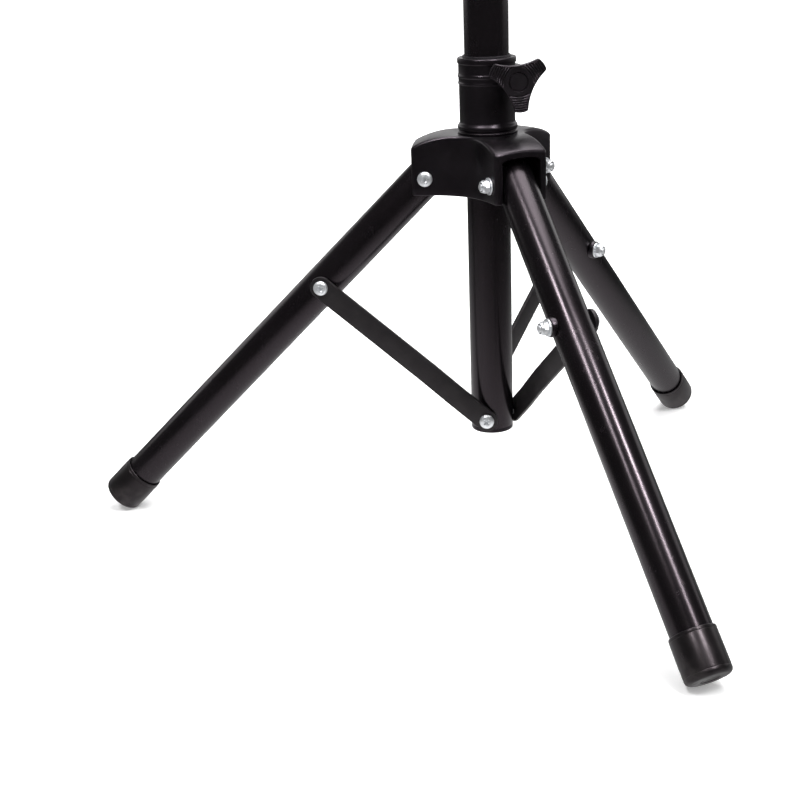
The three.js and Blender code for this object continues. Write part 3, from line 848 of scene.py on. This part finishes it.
def add_leg_tube(letter, place):
    end = LEG_LENGTH - 4 * MM - GAP
    tube = turned_mesh("leg_tube", pipe_profile(LEG_RADIUS, -LEG_HEAD, end), 112)
    add(f"leg_pipe_{letter}", placed(tube, place), f"leg_{letter}", "tube_coat", [f"leg_tube_{letter}"])
    inner = LEG_RADIUS - WALL - GAP
    top = -LEG_HEAD - GAP
    profile = [(0, top - 1.2 * MM), (LEG_RADIUS - 0.3 * MM, top - 1.2 * MM), (LEG_RADIUS, top - 0.6 * MM),
               (LEG_RADIUS, top), (inner, top), (inner, top + 8 * MM), (0, top + 8 * MM)]
    plug = placed(turned_mesh("leg_plug", profile, 96, False, 0.5 * MM), place)
    add(f"leg_end_plug_{letter}", plug, f"leg_{letter}", "hub_plastic", [f"leg_top_plug_{letter}"])


def add_foot_cap(letter, place):
    """A moulded cap with a rolled mouth, a seam line and a rounded tread."""
    inner = LEG_RADIUS + GAP
    start, end = LEG_LENGTH - CAP_LENGTH, LEG_LENGTH
    profile = [
        (inner, start + 0.5 * MM), (inner + 0.5 * MM, start), (CAP_RADIUS - 0.45 * MM, start),
        (CAP_RADIUS - 0.1 * MM, start + 0.5 * MM), (CAP_RADIUS - 0.1 * MM, start + 2.3 * MM),
        (CAP_RADIUS - 0.35 * MM, start + 2.6 * MM), (CAP_RADIUS - 0.05 * MM, start + 3.0 * MM),
        (CAP_RADIUS, start + 15 * MM), (CAP_RADIUS, end - 5.4 * MM),
        (CAP_RADIUS - 0.3 * MM, end - 5.1 * MM), (CAP_RADIUS - 0.05 * MM, end - 4.7 * MM),
        *arc((CAP_RADIUS - 4 * MM, end - 4 * MM), 3.95 * MM, 0, 86, 8),
        (8 * MM, end), (7.4 * MM, end - 0.5 * MM), (0, end - 0.5 * MM),
    ]
    outline = [*reversed(profile), (inner, end - 4 * MM), (0, end - 4 * MM)]
    cap = placed(mesh_from("foot_cap", *turned(softened(outline, 0.2 * MM, 2), 112)), place)
    add(f"foot_boot_{letter}", cap, f"leg_{letter}", "foot_plastic", [f"foot_cap_{letter}"])


def add_saddle(letter, place):
    """The moulded washer hollowed to the leg, between it and the steel washer."""
    outer, sides = 8 * MM, 64
    face = LEG_RADIUS + SADDLE_THICKNESS
    hollow = LEG_RADIUS + GAP

    def ring(radius, height_of):
        points = []
        for i in range(sides):
            angle = 2 * pi * i / sides
            x, z = radius * cos(angle), radius * sin(angle)
            points.append((x, -height_of(x), STRUT_ON_LEG + z))
        return points

    def seat(x):
        return sqrt(hollow**2 - x**2)

    rings = [ring(HOLE_RADIUS, lambda x: face), ring(outer - 0.9 * MM, lambda x: face),
             ring(outer - 0.3 * MM, lambda x: face - 0.25 * MM), ring(outer, lambda x: face - 0.9 * MM),
             ring(outer, seat), ring(HOLE_RADIUS, seat)]
    saddle = placed(mesh_from("saddle", *lofted(rings, True)), place)
    add(f"saddle_washer_{letter}", saddle, f"leg_{letter}", "hub_plastic", [f"strut_saddle_{letter}"])


def add_leg(letter):
    place = leg_frame(letter)
    add_leg_tube(letter, place)
    add_foot_cap(letter, place)
    add_saddle(letter, place)
    head_face = LEG_RADIUS + STRUT_THICKNESS + 2 * GAP
    washer_face = LEG_RADIUS + SADDLE_THICKNESS + GAP
    add_cross_bolt(letter, "strut", f"leg_{letter}", STRUT_TOP[letter], head_face, washer_face)
    face = HUB_HALF_WIDTH + GAP
    add_cross_bolt(letter, "pivot", "hub", PIVOT[letter], face, face)


# ---- struts ----

JOGGLE = (32 * MM, 66 * MM)


def strut_rings(length):
    """Cross-sections along a flat bar with round ends and a joggle, from end to end."""
    half, thickness = STRUT_WIDTH / 2, STRUT_THICKNESS
    low, high = TUBE_RADIUS + GAP, LEG_RADIUS + GAP
    soft = 0.45 * MM
    start, bend = JOGGLE[0], JOGGLE[1] - JOGGLE[0]
    stations = [-half * cos(radians(a)) for a in range(4, 91, 8)]
    stations += [start * 0.4, start * 0.8, *(start + bend * i / 8 for i in range(9))]
    stations += [JOGGLE[1] + (length - JOGGLE[1]) * i / 4 for i in range(1, 4)]
    stations += [length + half * sin(radians(a)) for a in range(0, 89, 8)]
    rings = []
    for x in stations:
        past = max(-x, x - length, 0)
        reach = sqrt(max(half**2 - past**2, 0))
        t = min(max((x - start) / bend, 0), 1)
        inner = low + (high - low) * t
        outer = inner + thickness
        ease = min(soft, reach * 0.6)
        corners = [(reach - ease, outer - soft, 0), (-(reach - ease), outer - soft, 90),
                   (-(reach - ease), inner + soft, 180), (reach - ease, inner + soft, 270)]
        section = []
        for z, y, first in corners:
            for i in range(4):
                angle = radians(first + 30 * i)
                section.append((x, y + soft * sin(angle), z + ease * cos(angle)))
        rings.append(section)
    return rings


def add_strut(letter):
    foot = OUTWARD[letter] * STRUT_FOOT["radial"] + UP * STRUT_FOOT["z"]
    line = STRUT_TOP[letter] - foot
    length, along = line.length, line.normalized()
    across = ACROSS[letter]
    place = frame_matrix(foot, along, across, along.cross(across))
    bar = placed(mesh_from("strut", *capped(strut_rings(length))), place)
    add(f"strut_bar_{letter}", bar, f"strut_arm_{letter}", "strut_coat", [f"strut_{letter}"])
    head_face = TUBE_RADIUS + STRUT_THICKNESS + 2 * GAP
    column_side = sqrt(TUBE_RADIUS**2 - STRUT_FOOT["radial"] ** 2)
    screw = pan_head(column_side + GAP - head_face, -1 * MM)
    at_head = across_frame(foot, across, head_face, spin=SPINS[letter] + 0.3)
    add(f"strut_foot_screw_{letter}", placed(screw, at_head), f"strut_arm_{letter}", "zinc_steel",
        [f"strut_screw_{letter}"])


# ---- clamp knobs: drawn along +Z, which points out from the column ----

KNOB_REAR = 19.8 * MM
LOBE_REAR = 25.2 * MM
KNOB_FACE = 35.5 * MM
STEM_RADIUS = 9 * MM
TIP_RADIUS = 24.5 * MM
TIP_HALF_WIDTH = 5.5 * MM
WAIST_PULL = 9.5 * MM
FIRST_LOBE = 35
STUD_BACK = -15 * MM
STUD_FRONT = 30 * MM
CAP_RECESS_RADIUS = 7.9 * MM
GROOVES = [(11.6 + 1.9 * i) * MM for i in range(7)]


def star_outline():
    """The three-lobed outline: blunt tips and deep hollows between them."""
    def at(radius, offset, turn):
        return Matrix.Rotation(radians(FIRST_LOBE + turn), 2) @ Vector((radius, offset))

    def curve(start, pull, end, steps):
        shares = [i / steps for i in range(steps)]
        return [start * (1 - t) ** 2 + pull * 2 * t * (1 - t) + end * t**2 for t in shares]

    shoulder = TIP_RADIUS - 1 * MM
    outline = []
    for turn in (0, 120, 240):
        first, second = at(shoulder, -TIP_HALF_WIDTH, turn), at(shoulder, TIP_HALF_WIDTH, turn)
        following = at(shoulder, -TIP_HALF_WIDTH, turn + 120)
        outline += curve(first, at(TIP_RADIUS + 1 * MM, 0, turn), second, 16)
        outline += curve(second, at(WAIST_PULL, 0, turn + 60), following, 36)
    return outline


def drawn_in(loop, inset):
    """A closed loop moved inwards along its normals, its corners eased as it goes."""
    count = len(loop)
    moved = []
    for i, point in enumerate(loop):
        tangent = (loop[(i + 1) % count] - loop[i - 1]).normalized()
        moved.append(point + Vector((-tangent.y, tangent.x)) * inset)
    return moved


def rib_depth(point):
    """Depth of the curved grip grooves across the outer part of each lobe."""
    for turn in (0, 120, 240):
        local = Matrix.Rotation(-radians(FIRST_LOBE + turn), 2) @ point
        if local.x < 10 * MM:
            continue
        along = (local.x + local.length) / 2
        for groove in GROOVES:
            away = abs(along - groove) / (0.62 * MM)
            if away < 1:
                return 0.75 * MM * cos(away * pi / 2) ** 1.2
    return 0


def knob_mesh():
    star = star_outline()
    # ease the sharp corners of the tips
    for _ in range(2):
        star = [(star[i - 1] + star[i] * 2 + star[(i + 1) % len(star)]) / 4 for i in range(len(star))]
    rear, front = 1 * MM, 0.9 * MM
    draft = 0.6 * MM
    steps = 60
    stud_room = STUD_FRONT + GAP

    def round_ring(radius, z):
        return [(*(p.normalized() * radius), z) for p in star]

    stem = [
        (HOLE_RADIUS, stud_room), (HOLE_RADIUS, KNOB_REAR + 0.3 * MM), (3.8 * MM, KNOB_REAR),
        (STEM_RADIUS - 0.6 * MM, KNOB_REAR), (STEM_RADIUS - 0.1 * MM, KNOB_REAR + 0.5 * MM),
        (STEM_RADIUS, LOBE_REAR - 1.5 * MM), (STEM_RADIUS + 0.4 * MM, LOBE_REAR - 0.5 * MM),
        (STEM_RADIUS + 1.1 * MM, LOBE_REAR),
    ]
    rings = [[(0, 0, stud_room)], *(round_ring(*point) for point in stem)]
    for i in range(4):
        angle = radians(30 * i)
        inset = draft + rear * (1 - sin(angle))
        rings.append([(*p, LOBE_REAR + rear * (1 - cos(angle))) for p in drawn_in(star, inset)])
    for i in range(6):
        angle = radians(18 * i)
        ring = []
        for p in drawn_in(star, front * (1 - cos(angle))):
            notch = rib_depth(p) * sin(angle)
            ring.append((*p, KNOB_FACE - front * (1 - sin(angle)) - notch))
        rings.append(ring)
    edge = drawn_in(star, front)
    for i in range(1, steps + 1):
        ring = []
        for p in edge:
            point = p.lerp(p.normalized() * CAP_RECESS_RADIUS, i / steps)
            ring.append((*point, KNOB_FACE - rib_depth(point)))
        rings.append(ring)
    rings += [round_ring(CAP_RECESS_RADIUS - 0.3 * MM, KNOB_FACE - 0.4 * MM)]
    rings += [round_ring(CAP_RECESS_RADIUS - 0.3 * MM, KNOB_FACE - 2 * MM), [(0, 0, KNOB_FACE - 2 * MM)]]
    return mesh_from("knob", *lofted(rings))


def cap_mesh():
    """The plain cap in the knob's middle, with an eased rim."""
    bottom, top = KNOB_FACE - 1.7 * MM, KNOB_FACE - 0.5 * MM
    profile = [(0, bottom), (7.5 * MM, bottom), (7.5 * MM, top - 0.5 * MM), (7.0 * MM, top - 0.1 * MM),
               (4.0 * MM, top), (0, top)]
    return mesh_from("cap", *turned(softened(profile, 0.25 * MM), 72))


def stud_mesh(start, end):
    profile = [(0, start), *thread_profile(start, end, SCREW_RADIUS), (0, end)]
    return mesh_from("stud", *turned(profile, 40))


def add_knob(prefix, collar_body):
    """The star knob, its cap and stud, the thrust washer under it and the nut behind the ears."""
    body = f"{prefix}_screw"
    place = clamp_frame(prefix)
    knob = placed(knob_mesh(), place)
    add(f"{prefix}_star_knob", knob, body, "knob_plastic", [f"{prefix}_knob"], smooth=40)
    add(f"{prefix}_knob_disc", placed(cap_mesh(), place), body, "knob_plastic", [f"{prefix}_knob_cap"])
    stud = placed(stud_mesh(STUD_BACK, STUD_FRONT), place)
    add(f"{prefix}_screw_stud", stud, body, "zinc_steel", [f"{prefix}_knob_stud"])
    at_washer = place @ Matrix.Translation((0, 0, EAR_FRONT + GAP))
    add(f"{prefix}_thrust_washer", placed(washer_mesh(), at_washer), f"{prefix}_washer", "zinc_steel",
        [f"{prefix}_clamp_washer"])
    at_nut = place @ Matrix.Translation((0, 0, EAR_BACK)) @ Matrix.Rotation(radians(30), 4, "Z")
    nut = placed(lock_nut(CLAMP_NUT_HEIGHT, False), at_nut)
    add(f"{prefix}_trapped_nut", nut, collar_body, "zinc_steel", [f"{prefix}_knob_nut"])


def dress_pole_guide():
    """The guide inside the column stays as the frame has it and gets its real finish."""
    data = frame["nodes"]["pole_guide"].data
    data.materials.clear()
    data.materials.append(MATERIALS["liner_nylon"])


# ---- studio ----


def stage_piece(name, verts, faces, material):
    piece = loose(mesh_from(name, verts, faces))
    piece.name = name
    piece.data.materials.append(material)
    return piece


def glow(name, strength):
    """A plain white light-giving surface."""
    material = bpy.data.materials.new(name)
    material.use_nodes = True
    nodes = material.node_tree.nodes
    nodes.clear()
    emission = nodes.new("ShaderNodeEmission")
    emission.inputs["Strength"].default_value = strength
    output = nodes.new("ShaderNodeOutputMaterial")
    material.node_tree.links.new(emission.outputs["Emission"], output.inputs["Surface"])
    return material


def vector_node(nodes, links, operation, vector):
    """A vector math node fed with a vector, whose outcome is a number."""
    node = nodes.new("ShaderNodeVectorMath")
    node.operation = operation
    links.new(vector, node.inputs[0])
    return node


def floor_material():
    """Matt white, lit by the lamps near the stand and glowing evenly white further off."""
    material = bpy.data.materials.new("floor")
    material.use_nodes = True
    nodes, links = material.node_tree.nodes, material.node_tree.links
    shader = nodes["Principled BSDF"]
    shader.inputs["Base Color"].default_value = (0.9, 0.9, 0.9, 1)
    shader.inputs["Roughness"].default_value = 0.9
    shader.inputs["Specular IOR Level"].default_value = 0.1
    shader.inputs["Emission Color"].default_value = (1, 1, 1, 1)
    place = nodes.new("ShaderNodeTexCoord").outputs["Object"]
    fade = nodes.new("ShaderNodeMapRange")
    fade.interpolation_type = "SMOOTHSTEP"
    for name, number in (("From Min", 0.7), ("From Max", 1.8), ("To Min", 0.3), ("To Max", 1.0)):
        fade.inputs[name].default_value = number
    links.new(vector_node(nodes, links, "LENGTH", place).outputs["Value"], fade.inputs["Value"])
    links.new(fade.outputs["Result"], shader.inputs["Emission Strength"])
    return material


def pool_material():
    """What polished surfaces see of the floor: white under the stand, darker away from it."""
    half_reach, steepness = 0.55, 2.6
    soonest_dark = (0.49, -0.34, 0)
    material = glow("pool", 1.0)
    nodes, links = material.node_tree.nodes, material.node_tree.links
    place = nodes.new("ShaderNodeTexCoord").outputs["Object"]
    along = vector_node(nodes, links, "DOT_PRODUCT", place)
    along.inputs[1].default_value = soonest_dark
    away = vector_node(nodes, links, "LENGTH", place).outputs["Value"]
    extra = math_node(nodes, links, "MAXIMUM", along.outputs["Value"], 0.0)
    reach = math_node(nodes, links, "DIVIDE", math_node(nodes, links, "ADD", away, extra), half_reach)
    power = math_node(nodes, links, "POWER", reach, steepness)
    fall = math_node(nodes, links, "ADD", power, 1.0)
    links.new(math_node(nodes, links, "DIVIDE", 1.0, fall), nodes["Emission"].inputs["Strength"])
    return material


def disc(radius, z, sides=96):
    ring = circle(radius, z, sides)
    return ring, [tuple(range(sides))]


def wall(radius, low, high, start, end, steps=40):
    """Part of an upright cylinder round the stand, between two azimuths in degrees."""
    verts, faces = [], []
    for i in range(steps + 1):
        angle = radians(start + (end - start) * i / steps)
        verts += [(radius * cos(angle), radius * sin(angle), z) for z in (low, high)]
        if i:
            faces.append((2 * i - 2, 2 * i, 2 * i + 1, 2 * i - 1))
    return verts, faces


def seen_by(piece, camera=False, diffuse=False, glossy=False):
    piece.visible_camera = camera
    piece.visible_diffuse = diffuse
    piece.visible_glossy = glossy
    piece.visible_transmission = False
    piece.visible_shadow = False


def add_light(name, azimuth, elevation, distance, size, power, tall=None, lean=0):
    """A softbox aimed at the stand from a direction in degrees, turned by a lean about its aim."""
    data = bpy.data.lights.new(name, "AREA")
    data.shape = "RECTANGLE"
    data.size, data.size_y = size, tall or size
    data.energy = power
    lamp = bpy.data.objects.new(name, data)
    bpy.context.scene.collection.objects.link(lamp)
    a, e = radians(azimuth), radians(elevation)
    aim = Vector((0, 0, 0.1))
    back = Vector((cos(a) * cos(e), sin(a) * cos(e), sin(e)))
    lamp.location = aim + back * distance
    lamp.rotation_mode = "QUATERNION"
    lamp.rotation_quaternion = back.to_track_quat("Z", "Y") @ Quaternion((0, 0, 1), radians(lean))
    lamp.visible_camera = False
    return lamp


def add_studio():
    world = bpy.data.worlds.new("world")
    bpy.context.scene.world = world
    world.use_nodes = True
    world.node_tree.nodes["Background"].inputs["Color"].default_value = (1, 1, 1, 1)
    world.node_tree.nodes["Background"].inputs["Strength"].default_value = 0.1
    ground = stage_piece("floor", *disc(45, FLOOR, 128), floor_material())
    ground.visible_glossy = False
    pool = stage_piece("floor_glow", *disc(2.2, FLOOR - 0.002), pool_material())
    seen_by(pool, glossy=True)
    sky = stage_piece("far_backdrop", *wall(44, FLOOR, 40, 0, 360, 64), glow("backdrop", 1.0))
    seen_by(sky, camera=True)
    sweep = stage_piece("sweep", *wall(2.2, 0.25, 1.05, 10, 165), glow("sweep", 1.0))
    seen_by(sweep, glossy=True, diffuse=True)
    add_light("key", -124.5, 58.5, 6, 0.65, 140, 1.5, 39)
    add_light("key_low", -112, 50, 6, 0.6, 38, 1.5, 39)
    add_light("fill", -46.8, 57.5, 6, 0.6, 195, 1.6, -13)
    add_light("fill_low", -50, 44, 6, 0.5, 40, 0.7, -13)
    add_light("top", 60, 80, 2.2, 1.6, 45)
    add_light("rear", 90, 57, 3, 2.6, 22, 1.0)
    settings = bpy.context.scene.view_settings
    settings.view_transform = "Standard"
    settings.look = "None"


# ---- assembly ----

add_camera()
add_column()
add_pole()
add_collars()
add_liners()
add_hub_bracket()
for leg_letter in LETTERS:
    add_leg(leg_letter)
    add_strut(leg_letter)
add_knob("hub", "hub")
add_knob("upper", "column")
dress_pole_guide()
add_studio()
